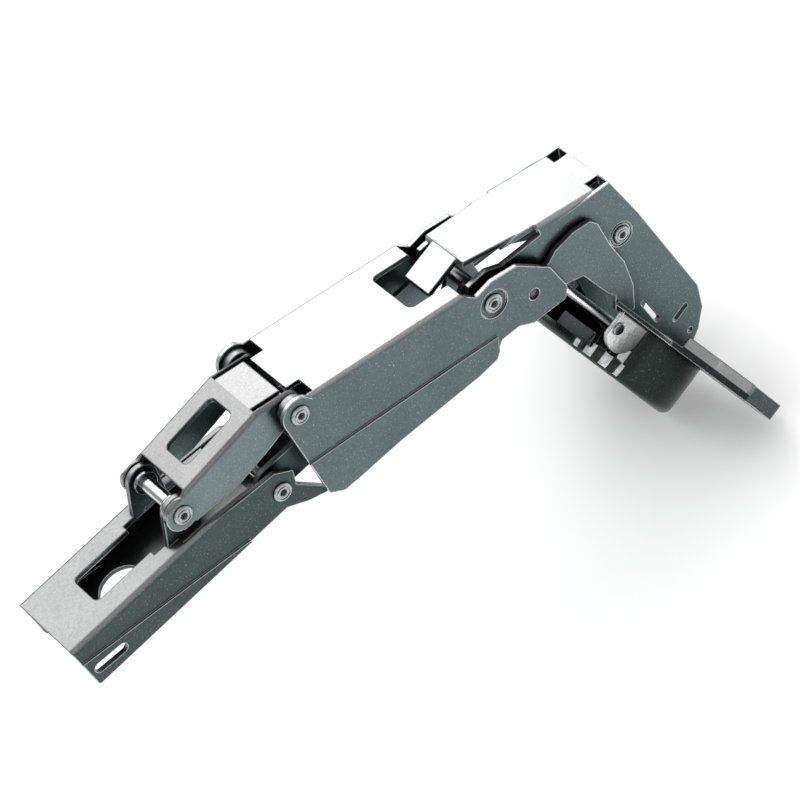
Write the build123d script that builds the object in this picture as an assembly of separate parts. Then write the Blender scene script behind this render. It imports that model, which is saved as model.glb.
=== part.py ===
from build123d import *
import os
from math import cos, radians, sin

os.makedirs("parts", exist_ok=True)

# Wide-angle concealed cup hinge, fully open. Millimetres.
# X runs along the arm towards the cup, Z is up from the arm's top, every pivot axis lies along Y.
# The origin is the middle of the arm's seat, the underside of the slide that lies on the mounting plate.
# Outlines are drawn from the rear pivot's axis and moved onto the seat when they are written.

# pivots in the X-Z plane
PIVOT_REAR = (0.0, 0.0)
PIVOT_BASE = (16.9, -11.8)
PIVOT_COVER = (27.2, 1.6)
PIVOT_MIDDLE = (68.7, -12.0)
PIVOT_LEVER = (76.2, -17.5)
PIVOT_STOP = (97.4, -24.8)

# cup position and tilt
CUP_ANGLE = 15.0
CUP_ALONG = 76.7
CUP_ACROSS = -74.0
CUP_RADIUS = 17.5
CUP_DEPTH = 11.3
CUP_WALL = 0.9
CUP_BEVEL = 1.8
CUP_PIVOT = (-4.0, -10.0)
CUP_PIN = (-3.3, 12.6)
RIM_LIP = 1.4
RIM_RADIUS = CUP_RADIUS + RIM_LIP
RIM_THICK = 0.9
RIM_FIT = 0.05

# sheet thicknesses and bends
SHEET = 1.1
COVER_SHEET = 1.0
BEND = 1.2
ARM_STEP = 0.35
COVER_STEP = 0.4

# half widths over the outside of each pressed part
SIDE_GAP = 0.3
LINK_GAP = 0.35
COVER_GAP = 0.4
ARM_HALF = 9.15
EAR_HALF = 6.35
REAR_HALF = EAR_HALF + SIDE_GAP + SHEET
LEVER_HALF = 5.6
FRONT_HALF = 8.05
CUP_LEVER_HALF = FRONT_HALF + LINK_GAP + SHEET
COVER_HALF = CUP_LEVER_HALF + COVER_GAP + COVER_SHEET

# rivets
PIN_RADIUS = 1.5
FINE_PIN_RADIUS = 1.2
HEAD_RADIUS = 2.0
HEAD_HEIGHT = 0.6
DIMPLE_RADIUS = 0.8
DIMPLE_DEPTH = 0.35
RUN_FIT = 0.05
WASHER_RADIUS = 2.9

# arm
ARM_REAR = -31.2
ARM_TOP = -5.3
ARM_BOTTOM = -15.9
ARM_ROOF_END = -3.0
ARM_WINDOW_REAR = -21.3
ARM_WINDOW_HALF = 4.0
ARM_THROAT_HALF = 5.25
SLOT_REAR = (-28.6, -12.6)
SLOT_FRONT = (-23.4, -13.0)
SLOT_WIDTH = 2.2
SLIDE_TOP = -11.3
SEAT_X = -8.0
SLIDE_HALF = ARM_HALF - SHEET - LINK_GAP
SLIDE_HOLE_X = -15.5
SLIDE_HOLE_RADIUS = 4.8

# rear link window
REAR_WINDOW = (6.4, 18.7)
REAR_WINDOW_HALF = 3.6
REAR_NOTCH = (21.4, 28.6)
REAR_NOTCH_HALF = 5.7

# cover slot for the tongue of the front link
COVER_SLOT_REAR = 56.0
COVER_SLOT_HALF = 6.2
COVER_REAR_HALF = 5.7
COVER_REAR_NOTCH = 31.8
TONGUE_HALF = 3.65

# wings of the cup flange
WING_REACH = 13.7
WING_TIP = RIM_RADIUS + WING_REACH
WING_RIM = 3.5
WING_SHEET = 1.1
WING_HOLE_Y = RIM_RADIUS + 5.1
WING_HOLE_V = -9.0
WING_HOLE_RADIUS = 2.2
WING_LOW_V = -18.5
WING_HIGH_V = 1.5


def plate(face, low, high):
    """Sheet from an X-Z face, between two Y positions."""
    return Pos(0, (low + high) / 2, 0) * extrude(Plane.XZ * face, (high - low) / 2, both=True)


def pair(face, low, high):
    """The same sheet on both sides of the middle plane."""
    return plate(face, low, high) + plate(face, -high, -low)


def outline(points, radius=0.0, sharp=()):
    """Closed outline with rounded corners, except the corners listed as sharp."""
    face = Polygon(*points, align=None)
    if radius:
        keep = [Vector(*points[i]) for i in sharp]
        corners = [v for v in face.vertices() if all((Vector(v.X, v.Y) - k).length > 0.01 for k in keep)]
        face = fillet(corners, radius)
    return face


def disc(centre, radius):
    """Round face on a pivot."""
    return Pos(*centre) * Circle(radius)


def rod(centre, radius, low, high):
    """Round bar along Y."""
    return plate(disc(centre, radius), low, high)


def obround(start, end, width):
    """Slot face with round ends between two centres."""
    line = Edge.make_line((*start, 0), (*end, 0))
    return make_hull((disc(start, width / 2) + disc(end, width / 2)).edges() + [line])


def below(roof, drop, floor):
    """Face under a roof line lowered by a drop, down to a floor height."""
    lowered = [(x, z - drop) for x, z in roof]
    return Polygon(*lowered, (roof[-1][0], floor), (roof[0][0], floor), align=None)


def fold_edges(solid, roof, half):
    """Long edges where the roof meets the cheeks."""
    found = []
    for edge in solid.edges():
        mid = edge.center()
        if abs(abs(mid.Y) - half) > 0.02 or edge.length < 2.0:
            continue
        for a, b in zip(roof, roof[1:]):
            run = Vector(b[0] - a[0], b[1] - a[1])
            to_mid = Vector(mid.X - a[0], mid.Z - a[1])
            on_line = abs(run.cross(to_mid).Z) / run.length < 0.02
            if on_line and -0.01 < run.dot(to_mid) / run.length < run.length + 0.01:
                found.append(edge)
    return found


def channel(face, roof, half, sheet):
    """Pressed channel: two cheeks joined by a roof, open below."""
    body = plate(face, -half, half)
    body = fillet(fold_edges(body, roof, half), BEND)
    start = (roof[0][0] - 9, roof[0][1])
    end = (roof[-1][0] + 9, roof[-1][1])
    core = plate(below([start, *roof, end], sheet, -90), sheet - half, half - sheet)
    return body - core


def rivet(centre, radius, half, head_radius=HEAD_RADIUS):
    """Pin along Y with a dimpled head beyond each outer face."""
    pin = rod(centre, radius, -half, half)
    head = rod(centre, head_radius, half, half + HEAD_HEIGHT)
    head -= rod(centre, DIMPLE_RADIUS, half + HEAD_HEIGHT - DIMPLE_DEPTH, half + HEAD_HEIGHT)
    return pin + head + mirror(head, Plane.XZ)


def bored(solid, centre, radius):
    """Solid with a round hole through its whole width."""
    return solid - rod(centre, radius, -20, 20)


# arm: cheeks with a beak in front of the base pivot, a windowed roof and two upright ears
arm_face = outline(
    [
        (ARM_REAR, ARM_TOP),
        (1.4, ARM_TOP),
        (7.2, -6.0),
        (17.5, -7.0),
        (20.8, -9.6),
        (19.9, -13.0),
        (23.9, -18.4),
        (24.8, -20.6),
        (20.2, -18.6),
        (16.0, ARM_BOTTOM),
        (ARM_REAR + 0.6, ARM_BOTTOM),
    ],
    0.6,
    (0, 1),
)
arm_roof = [(ARM_REAR, ARM_TOP), (1.4, ARM_TOP)]
arm = plate(arm_face, -ARM_HALF, ARM_HALF)
arm = fillet(fold_edges(arm, arm_roof, ARM_HALF), BEND)
arm_inner = ARM_HALF - SHEET
arm -= plate(below([(-40, ARM_TOP), (40, ARM_TOP)], SHEET, -30), -arm_inner, arm_inner)
arm_mouth = Polygon((ARM_ROOF_END, -4), (40, -4), (40, -9), (ARM_ROOF_END, -9), align=None)
arm -= plate(arm_mouth, -arm_inner, arm_inner)
step_band = Polygon((-30.9, -9.2), (-4.4, -13.4), (7.0, -15.3), (7.0, -20), (-30.4, -20), align=None)
step_face = step_band & arm_face
arm += plate(step_face, ARM_HALF, ARM_HALF + ARM_STEP) + plate(step_face, -ARM_HALF - ARM_STEP, -ARM_HALF)
arm -= pair(step_face, arm_inner - 0.001, arm_inner + ARM_STEP)
window_mid = (ARM_WINDOW_REAR + ARM_ROOF_END) / 2
window = Pos(window_mid, 0) * Rectangle(ARM_ROOF_END - ARM_WINDOW_REAR, 2 * ARM_WINDOW_HALF)
window = fillet(window.vertices().sort_by(Axis.X)[:2], 1.2)
window += Pos(-5.0, 0) * Rectangle(6.0, 2 * ARM_THROAT_HALF)
arm -= Pos(0, 0, ARM_TOP - 2) * extrude(window, 4)
ear_foot = Polygon((-5.5, -6.0), (2.5, -6.0), (2.5, ARM_TOP), (-5.5, ARM_TOP), align=None)
ear_face = make_hull((disc(PIVOT_REAR, 3.2) + ear_foot).edges())
arm += pair(ear_face, EAR_HALF - SHEET, EAR_HALF)
tie_low = ARM_TOP - SHEET
tie_face = Polygon((-5.5, tie_low), (ARM_ROOF_END, tie_low), (ARM_ROOF_END, ARM_TOP), (-5.5, ARM_TOP), align=None)
arm += pair(tie_face, EAR_HALF - SHEET, arm_inner)
arm -= pair(obround(SLOT_REAR, SLOT_FRONT, SLOT_WIDTH), 7, 11)
arm = bored(arm, PIVOT_REAR, PIN_RADIUS + RUN_FIT)
arm = bored(arm, PIVOT_BASE, PIN_RADIUS)

slide_plate = Pos(-9.0, 0) * Rectangle(30.0, 2 * SLIDE_HALF)
slide_plate = fillet(slide_plate.vertices(), 1.5)
slide_plate -= Pos(SLIDE_HOLE_X, 0) * Circle(SLIDE_HOLE_RADIUS)
slide_plate -= Pos(0.5, 0) * SlotOverall(10.0, 4.4)
arm_slide = Pos(0, 0, SLIDE_TOP - SHEET) * extrude(slide_plate, SHEET)
slide_skirt = Polygon((-22, SLIDE_TOP), (2, SLIDE_TOP), (2, -14.2), (-22, -14.2), align=None)
arm_slide += pair(slide_skirt, SLIDE_HALF - SHEET, SLIDE_HALF)

base_pin = rivet(PIVOT_BASE, PIN_RADIUS, ARM_HALF)

# rear link: windowed channel between the rear pivot and the cover link
rear_roof = [(3.0, 3.8), (21.3, 6.05), (27.6, 4.5)]
rear_face = outline(
    [
        *rear_roof,
        (29.0, 0.2),
        (25.0, -1.5),
        (19.7, -2.9),
        (11.0, -4.4),
        (1.5, -3.6),
        (-2.0, 0.5),
    ],
    0.5,
    (0, 1, 2),
)
rear_face += disc(PIVOT_REAR, 3.4)
rear_face += disc(PIVOT_COVER, 2.9)
rear = channel(rear_face, rear_roof, REAR_HALF, SHEET)
rear_inner = REAR_HALF - SHEET
rear -= plate(disc(PIVOT_REAR, 4.6) + disc(PIVOT_COVER, 2.2), -rear_inner, rear_inner)
rear -= plate(Polygon((27.7, 0), (40, 0), (40, 9), (27.7, 9), align=None), -rear_inner, rear_inner)
rear_open = Rectangle(REAR_WINDOW[1] - REAR_WINDOW[0], 2 * REAR_WINDOW_HALF)
rear_open = Pos((REAR_WINDOW[0] + REAR_WINDOW[1]) / 2, 0) * rear_open
rear_open = fillet(rear_open.vertices(), 1.3)
rear -= Pos(0, 0, 2) * extrude(rear_open, 6)
notch_width = rear_inner - REAR_NOTCH_HALF
for side in (-1, 1):
    notch = Pos((REAR_NOTCH[0] + REAR_NOTCH[1]) / 2, side * (REAR_NOTCH_HALF + notch_width / 2), 5)
    rear -= notch * Box(REAR_NOTCH[1] - REAR_NOTCH[0], notch_width, 6)
rear = bored(rear, PIVOT_REAR, PIN_RADIUS)
rear = bored(rear, PIVOT_COVER, PIN_RADIUS + RUN_FIT)
rear_pin = rivet(PIVOT_REAR, PIN_RADIUS, REAR_HALF)
collar_high = EAR_HALF - SHEET - SIDE_GAP
rear_collar = pair(disc(PIVOT_REAR, 2.4) - disc(PIVOT_REAR, PIN_RADIUS), collar_high - 0.9, collar_high)

# cover link: broad channel with a stepped lower band and a lobed front
cover_roof = [(28.9, 3.85), (64.3, -4.8)]
cover_face = outline(
    [
        (28.9, 3.85),
        (64.3, -4.8),
        (66.5, -7.6),
        (70.5, -7.2),
        (76.2, -8.8),
        (81.4, -15.0),
        (82.5, -22.0),
        (81.0, -24.2),
        (73.4, -23.2),
        (70.6, -21.1),
        (66.4, -20.6),
        (63.6, -23.2),
        (59.3, -23.3),
        (40.0, -21.4),
        (28.9, -21.0),
    ],
    0.7,
    (0, 1, 14),
)
cover_tail = outline([(30.4, 1.2), (30.4, -21.0), (26.3, -20.8), (23.6, -18.6), (23.6, 1.2)], 0.7, (0, 1, 4))
cover_tail += disc(PIVOT_COVER, 3.6)
cover = plate(cover_face, -COVER_HALF, COVER_HALF)
cover = fillet(fold_edges(cover, cover_roof, COVER_HALF), BEND)
cover_inner = COVER_HALF - COVER_SHEET
cover_core = Polygon((20, 4.99), (64.3, -5.83), (90, -5.83), (90, -40), (20, -40), align=None)
cover_core += Polygon((64.4, 0), (90, 0), (90, -40), (64.4, -40), align=None)
cover -= plate(cover_core, -cover_inner, cover_inner)
for side in (-1, 1):
    notch_mid = (COVER_REAR_HALF + cover_inner) / 2
    rear_notch = Pos(COVER_REAR_NOTCH - 5, side * notch_mid, 3)
    cover -= rear_notch * Box(10, cover_inner - COVER_REAR_HALF, 8)
cover += pair(cover_tail, cover_inner, COVER_HALF)
slot = Pos((COVER_SLOT_REAR + 66) / 2, 0) * Rectangle(66 - COVER_SLOT_REAR, 2 * COVER_SLOT_HALF)
slot = fillet(slot.vertices().sort_by(Axis.X)[:2], 1.3)
cover -= Pos(0, 0, -9) * extrude(slot, 9)
band = Polygon((22, -9.2), (24.2, -9.6), (57.6, -16.8), (66.0, -18.8), (62, -30), (22, -30), align=None)
band_face = band & (cover_face + cover_tail)
cover += pair(band_face, COVER_HALF, COVER_HALF + COVER_STEP)
cover -= pair(band_face, cover_inner - 0.001, cover_inner + COVER_STEP)
for side in (-1, 1):
    dish = Plane.XZ * Pos(*PIVOT_MIDDLE, -side * (COVER_HALF - 0.2)) * Cylinder(3.0, 0.4)
    cover -= dish
cover = bored(cover, PIVOT_COVER, PIN_RADIUS)
cover = bored(cover, PIVOT_MIDDLE, PIN_RADIUS)
cover = bored(cover, PIVOT_LEVER, FINE_PIN_RADIUS)
cover_pin = rivet(PIVOT_COVER, PIN_RADIUS, COVER_HALF)
middle_pin = rivet(PIVOT_MIDDLE, PIN_RADIUS, COVER_HALF - 0.4)
lever_studs = pair(disc(PIVOT_LEVER, FINE_PIN_RADIUS), CUP_LEVER_HALF - SHEET, COVER_HALF - 0.5)

cover_ring = disc(PIVOT_COVER, WASHER_RADIUS) - disc(PIVOT_COVER, PIN_RADIUS)
cover_washers = pair(cover_ring, REAR_HALF + SIDE_GAP, cover_inner)
middle_ring = disc(PIVOT_MIDDLE, WASHER_RADIUS) - disc(PIVOT_MIDDLE, PIN_RADIUS)
middle_washers = pair(middle_ring, FRONT_HALF + SIDE_GAP, cover_inner)

# inner lever: twin-bar lever on the base pin, slotted round the middle pin
SLOT_LOW = (65.0, -15.1)
SLOT_HIGH = (70.2, -9.6)
lever_face = make_hull((disc(PIVOT_BASE, 3.4) + disc((62.0, -12.6), 3.4)).edges())
lever_face += make_hull((disc(SLOT_LOW, 4.0) + disc(SLOT_HIGH, 2.9) + disc((70.4, -22.4), 3.6)).edges())
lever = pair(lever_face, LEVER_HALF - SHEET, LEVER_HALF)
web_face = Polygon((26.0, -15.2), (56.0, -15.8), (56.0, -14.7), (26.0, -14.1), align=None)
lever += plate(web_face, -LEVER_HALF + 0.2, LEVER_HALF - 0.2)
lever -= pair(obround(SLOT_LOW, SLOT_HIGH, 2 * PIN_RADIUS + 1.2), 3, 7)
fork_mouth = Polygon((64.0, -6.5), (78.0, -15.9), (78.0, -3.0), (64.0, -3.0), align=None)
lever -= plate(fork_mouth, -LEVER_HALF, LEVER_HALF)
lever = bored(lever, PIVOT_BASE, PIN_RADIUS + RUN_FIT)
base_collars = pair(disc(PIVOT_BASE, 2.4) - disc(PIVOT_BASE, PIN_RADIUS), LEVER_HALF + SIDE_GAP, arm_inner)

# front link: cranked channel with a tongue, from the middle pivot down into the cup
front_roof = [(69.2, -3.75), (98.1, -12.0), (100.4, -12.4), (102.4, -23.4)]
tilt = radians(CUP_ANGLE)
cup_out = (cos(tilt), sin(tilt))
cup_side = (-sin(tilt), cos(tilt))


def on_cup(point):
    """X-Z position of a point given as height above the flange and distance across it."""
    along = CUP_ALONG + point[0]
    across = CUP_ACROSS + point[1]
    return (along * cup_out[0] + across * cup_side[0], along * cup_out[1] + across * cup_side[1])


front_foot = on_cup(CUP_PIVOT)
front_face = outline(
    [
        (69.2, -3.75),
        (98.1, -12.0),
        (100.4, -12.4),
        (102.4, -23.4),
        on_cup((12.5, -1.9)),
        on_cup((9.9, -6.8)),
        on_cup((6.0, -9.9)),
        on_cup((-1.2, -12.7)),
        on_cup((-5.9, -8.1)),
        on_cup((1.0, 14.0)),
        on_cup((1.3, 20.5)),
        (86.8, -25.6),
        (80.0, -20.5),
        (70.5, -15.6),
        (66.0, -14.0),
        (66.0, -8.5),
    ],
    0.6,
    (0, 1, 2, 3),
)
front_face += disc(PIVOT_MIDDLE, 3.4)
front_face += disc(front_foot, 2.9)
front = plate(front_face, -FRONT_HALF, FRONT_HALF)
front = fillet(fold_edges(front, [front_roof[0], front_roof[1]], FRONT_HALF), BEND)
front_inner = FRONT_HALF - SHEET
front_core = Polygon(
    (60, -2.3),
    (69.2, -4.9),
    (97.7, -13.1),
    (99.5, -13.4),
    (101.3, -24.0),
    (110, -24.0),
    (110, -80),
    (60, -80),
    align=None,
)
front -= plate(front_core, -front_inner, front_inner)
shoulder = Polygon((60, -1), (84.2, -7.0), (83.8, -10.0), (74.5, -9.0), (71.5, -7.2), (60, -7.0), align=None)
front -= pair(shoulder, front_inner, 9)
for side in (-1, 1):
    narrow = [(68.0, side * 5.6), (84.0, side * front_inner), (84.0, side * 9), (68.0, side * 9)]
    taper = Polygon(*narrow, align=None)
    front -= Pos(0, 0, -6.9) * extrude(taper, 6, dir=(0, 0, 1))
tongue_face = Polygon((69.5, -3.8), (61.1, -5.8), (60.9, -6.9), (69.5, -4.95), align=None)
front += plate(tongue_face, -TONGUE_HALF, TONGUE_HALF)
for side in (-1, 1):
    relief = Pos(98.6, side * (front_inner - 1.0), -12.5)
    front -= relief * Rot(0, 16, 0) * Box(3.0, 2.6, 4)
spring_slots = obround(on_cup((3.5, 7.8)), on_cup((2.7, 1.6)), 1.1)
spring_slots += obround(on_cup((4.8, -2.6)), on_cup((7.9, -2.6)), 1.1)
front -= pair(spring_slots, front_inner - 0.5, 9)
front = bored(front, on_cup((4.9, -8.1)), 0.6)
front = bored(front, PIVOT_MIDDLE, PIN_RADIUS + RUN_FIT)
front = bored(front, PIVOT_STOP, FINE_PIN_RADIUS)
front = bored(front, front_foot, FINE_PIN_RADIUS)
stop_pin = rivet(PIVOT_STOP, FINE_PIN_RADIUS, FRONT_HALF, 1.8)
stop_roller = rod(PIVOT_STOP, 2.6, -5.0, 5.0) - rod(PIVOT_STOP, FINE_PIN_RADIUS, -6, 6)
dish_ring = disc(PIVOT_STOP, 2.6) - disc(PIVOT_STOP, 2.2)
front -= pair(dish_ring, FRONT_HALF - 0.3, FRONT_HALF + 1)
foot_pin = rod(front_foot, FINE_PIN_RADIUS, -FRONT_HALF, FRONT_HALF)

# cup lever: twin cranked plates outside the front link, hung from the cover link's lobes
cup_lever_face = outline(
    [
        (81.9, -15.6),
        (84.3, -14.3),
        (89.4, -14.0),
        (92.9, -14.9),
        (94.0, -16.8),
        (94.1, -23.3),
        (94.9, -29.4),
        (94.2, -35.8),
        on_cup((1.6, 10.5)),
        on_cup((-0.6, 11.6)),
        on_cup((-0.8, 14.6)),
        on_cup((1.3, 17.0)),
        (88.9, -32.5),
        (86.6, -24.6),
        (82.0, -22.6),
        (76.8, -21.3),
        (74.6, -14.0),
    ],
    0.45,
)
cup_lever_face += disc(PIVOT_LEVER, 3.8)
cup_lever = pair(cup_lever_face, CUP_LEVER_HALF - SHEET, CUP_LEVER_HALF)
cup_lever = bored(cup_lever, PIVOT_LEVER, FINE_PIN_RADIUS + RUN_FIT)

# cup, built on its own axis and then tilted
cup_centre = on_cup((0.0, 0.0))
cup_plane = Plane(origin=(cup_centre[0], 0, cup_centre[1]), x_dir=(0, 1, 0), z_dir=(cup_out[0], 0, cup_out[1]))
cup_height = CUP_DEPTH + RIM_THICK
cup_floor = Pos(0, 0, RIM_THICK - cup_height / 2) * Cylinder(CUP_RADIUS, cup_height)
cup_floor = chamfer(cup_floor.edges().sort_by(Axis.Z)[0], CUP_BEVEL)
cup_room = Pos(0, 0, CUP_WALL + RIM_THICK - cup_height / 2) * Cylinder(CUP_RADIUS - CUP_WALL, cup_height)
cup_room = chamfer(cup_room.edges().sort_by(Axis.Z)[0], CUP_BEVEL - CUP_WALL * 0.6)
cup_local = cup_floor - cup_room
LEVER_GATE = CUP_LEVER_HALF + 0.4
FOOT_GATE = FRONT_HALF + 0.5
GATE_DROP = 9.2
lever_gate = Pos(0, CUP_RADIUS - 2.5, 0) * Box(2 * LEVER_GATE, 10, 2 * GATE_DROP)
foot_gate = Pos(0, 2.5 - CUP_RADIUS, 0) * Box(2 * FOOT_GATE, 10, 2 * GATE_DROP)
cup_local -= lever_gate + foot_gate
pin_local = Pos(0, CUP_PIN[1], CUP_PIN[0]) * Rot(0, 90, 0)
pin_reach = 11.4
cup_local -= pin_local * Cylinder(FINE_PIN_RADIUS, 40)
foot_lug = Pos(FRONT_HALF + SIDE_GAP + 0.6, CUP_PIVOT[1], CUP_PIVOT[0] - 2.0) * Box(1.2, 5.2, 2 * (CUP_DEPTH - 6.5))
foot_lug &= Pos(0, 0, -CUP_DEPTH / 2) * Cylinder(CUP_RADIUS - 0.3, CUP_DEPTH - 0.4)
cup_lugs = foot_lug + mirror(foot_lug, Plane.YZ)
foot_bore = Pos(0, CUP_PIVOT[1], CUP_PIVOT[0]) * Rot(0, 90, 0) * Cylinder(FINE_PIN_RADIUS + RUN_FIT, 40)
cup_lugs -= foot_bore
cup_lugs -= cup_floor - cup_room

rim = Cylinder(RIM_RADIUS, RIM_THICK) - Cylinder(CUP_RADIUS + RIM_FIT, RIM_THICK)
rim = Pos(0, 0, RIM_THICK / 2) * rim
wing_face = outline(
    [
        (9.0, WING_HIGH_V + 9.0),
        (WING_TIP - 6.0, WING_HIGH_V),
        (WING_TIP, WING_HIGH_V - 5.5),
        (WING_TIP, WING_LOW_V + 5.0),
        (WING_TIP - 6.0, WING_LOW_V),
        (10.0, WING_LOW_V + 3.0),
    ],
    2.0,
)
wing_face -= Circle(CUP_RADIUS + RIM_FIT)
wing = extrude(wing_face, WING_SHEET, dir=(0, 0, 1))
rim_band = wing_face - offset(wing_face, -1.0)
rim_band -= Circle(RIM_RADIUS + 1.5)
wing_rim = extrude(rim_band, WING_RIM, dir=(0, 0, 1))
wing_rim -= Pos(WING_TIP - 7.2, WING_LOW_V, WING_RIM - 0.6) * Box(2.0, 4, 2.6)
wing += wing_rim
wing -= Pos(WING_HOLE_Y, WING_HOLE_V, 0) * Cylinder(WING_HOLE_RADIUS, 8)
flange = rim + wing + mirror(wing, Plane.YZ)
flange -= lever_gate + foot_gate

cup_pin_local = pin_local * Cylinder(FINE_PIN_RADIUS, 2 * pin_reach)
leaf = Pos(0, 3.0, -CUP_DEPTH + CUP_WALL + 0.3) * Box(9.0, 14.0, 0.6)
leaf += Pos(0, 9.7, -CUP_DEPTH + CUP_WALL + 2.0) * Box(9.0, 0.6, 4.0)

NODES = {
    "arm_channel": arm,
    "arm_slide": arm_slide,
    "base_pin": base_pin,
    "base_collars": base_collars,
    "rear_link": rear,
    "rear_pin": rear_pin,
    "rear_collar": rear_collar,
    "cover_link": cover,
    "cover_pin": cover_pin,
    "cover_washers": cover_washers,
    "middle_pin": middle_pin,
    "middle_washers": middle_washers,
    "lever_studs": lever_studs,
    "inner_lever": lever,
    "front_link": front,
    "stop_pin": stop_pin,
    "stop_roller": stop_roller,
    "foot_pin": foot_pin,
    "cup_lever": cup_lever,
    "cup_shell": cup_plane * cup_local,
    "cup_lugs": cup_plane * cup_lugs,
    "cup_flange": cup_plane * flange,
    "cup_pin": cup_plane * cup_pin_local,
    "cup_leaf": cup_plane * leaf,
}

seat = Pos(-SEAT_X, 0, SHEET - SLIDE_TOP)
for name, solid in NODES.items():
    moved = seat * solid
    export_step(moved, f"parts/{name}.step")
    print(name, len(moved.solids()), round(moved.volume, 1), moved.is_valid)
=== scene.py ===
"""Looks of a wide-angle concealed cup hinge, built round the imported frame.

Every piece is in metres, in the frame's own axes: X along the arm towards the cup, Z up, pivots along Y.
Named lengths are in millimetres; only lamps are sized and placed in metres, and noises count cells per metre.
"""

import logging
import math
from collections.abc import Sequence
from dataclasses import dataclass, field
from enum import Enum

import bmesh
import bpy
import numpy as np
from mathutils import Matrix, Vector


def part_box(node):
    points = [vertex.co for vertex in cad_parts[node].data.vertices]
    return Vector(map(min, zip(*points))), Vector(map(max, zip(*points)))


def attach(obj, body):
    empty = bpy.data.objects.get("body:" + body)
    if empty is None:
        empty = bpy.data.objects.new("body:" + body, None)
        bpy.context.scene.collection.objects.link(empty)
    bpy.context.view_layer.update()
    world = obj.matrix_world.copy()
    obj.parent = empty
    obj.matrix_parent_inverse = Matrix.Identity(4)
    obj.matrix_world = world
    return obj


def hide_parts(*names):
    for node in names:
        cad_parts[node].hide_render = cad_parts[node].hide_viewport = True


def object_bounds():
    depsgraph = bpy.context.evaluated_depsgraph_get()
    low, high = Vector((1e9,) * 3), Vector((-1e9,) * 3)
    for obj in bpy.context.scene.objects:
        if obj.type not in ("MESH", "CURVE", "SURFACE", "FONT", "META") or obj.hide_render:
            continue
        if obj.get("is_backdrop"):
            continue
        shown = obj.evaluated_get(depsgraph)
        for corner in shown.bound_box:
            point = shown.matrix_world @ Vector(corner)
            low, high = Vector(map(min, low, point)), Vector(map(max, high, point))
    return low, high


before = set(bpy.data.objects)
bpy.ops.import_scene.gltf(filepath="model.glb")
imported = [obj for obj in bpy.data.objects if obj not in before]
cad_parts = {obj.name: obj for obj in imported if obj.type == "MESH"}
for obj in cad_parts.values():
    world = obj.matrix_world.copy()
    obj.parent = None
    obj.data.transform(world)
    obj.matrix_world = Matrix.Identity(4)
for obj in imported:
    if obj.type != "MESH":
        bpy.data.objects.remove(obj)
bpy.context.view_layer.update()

LOG = logging.getLogger("hinge")
MM = 0.001

Tree = bpy.types.NodeTree
Node = bpy.types.Node
Socket = bpy.types.NodeSocket
Material = bpy.types.Material
Piece = bpy.types.Object
Colour = tuple[float, float, float]
Pair = tuple[float, float]

# camera: its place, and the directions of the picture's right, down and depth
CAMERA_PLACE = (-78.0, -551.4, 587.9)
CAMERA_RIGHT = (0.7209, -0.5826, -0.3754)
CAMERA_DOWN = (-0.6742, -0.464, -0.5746)
CAMERA_DEPTH = (0.1606, 0.6673, -0.7272)
CAMERA_LENS = 200.87
CAMERA_SENSOR = 36.0
CAMERA_NEAREST = 10.0

# cup axes: out of the drum towards the arm, and across it towards the flange's upper edge
CUP_TILT = math.radians(15.0)
CUP_OUT = Vector((math.cos(CUP_TILT), 0.0, math.sin(CUP_TILT)))
CUP_ACROSS = Vector((-math.sin(CUP_TILT), 0.0, math.cos(CUP_TILT)))

# cup: middle of its mouth in the plane of the flange's underside, its drum, gates and pin
CUP_CENTRE = Vector((101.24, 0.0, -39.23))
CUP_RADIUS = 17.5
CUP_WALL = 0.9
CUP_DEPTH = 11.3
CUP_RIM = 0.9
CUP_ROUND = 2.0
LEVER_GATE = 9.9
FOOT_GATE = 8.55
GATE_DROP = 9.2
PIN_PLACE = (-3.3, 12.6)
FLAT_RINGS = 8
CORNER_RINGS = 9
WALL_HEIGHTS = (-6.0, -4.0, -2.0)
EAR_SEGMENTS = 120
EAR_PLAY = 0.05
TINY = 1e-6

# rivets and roller
SHANK_RADIUS = 1.5
FINE_SHANK_RADIUS = 1.2
HEAD_HEIGHT = 0.6
RECESS_DEPTH = 0.1
RECESS_REACH = 0.78
ROLLER_PLAY = 0.02
BARREL_RINGS = 25
SHOULDER_RINGS = 6
TURNED_SEGMENTS = 72
SHARP_ANGLE = math.radians(38.0)

# rivet head from its axis outwards: share of its radius, and drop below its top
HEAD_SHAPE = (
    (0.0, 0.40),
    (0.22, 0.38),
    (0.32, 0.26),
    (0.37, 0.06),
    (0.42, 0.0),
    (0.57, 0.0),
    (0.61, 0.06),
    (0.64, 0.2),
    (0.71, 0.2),
    (0.75, 0.06),
    (0.82, 0.03),
    (0.92, 0.1),
    (0.98, 0.24),
    (1.0, 0.4),
    (1.0, HEAD_HEIGHT),
)

# inner sheets: places along X and heights of their upper face
SHELF_LINE = ((5.0, 7.1), (9.4, 7.1), (15.2, 6.4), (20.4, 5.9))
SHELF_INNER = 5.2
SHELF_OUTER = 8.0
SHELF_THICK = 1.1
WEB_LINE = ((18.5, -2.5), (26.0, -2.3), (33.9, -1.75))
WEB_HALF = 4.4
WEB_THICK = 0.9
SHEET_COLUMNS = 13

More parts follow.
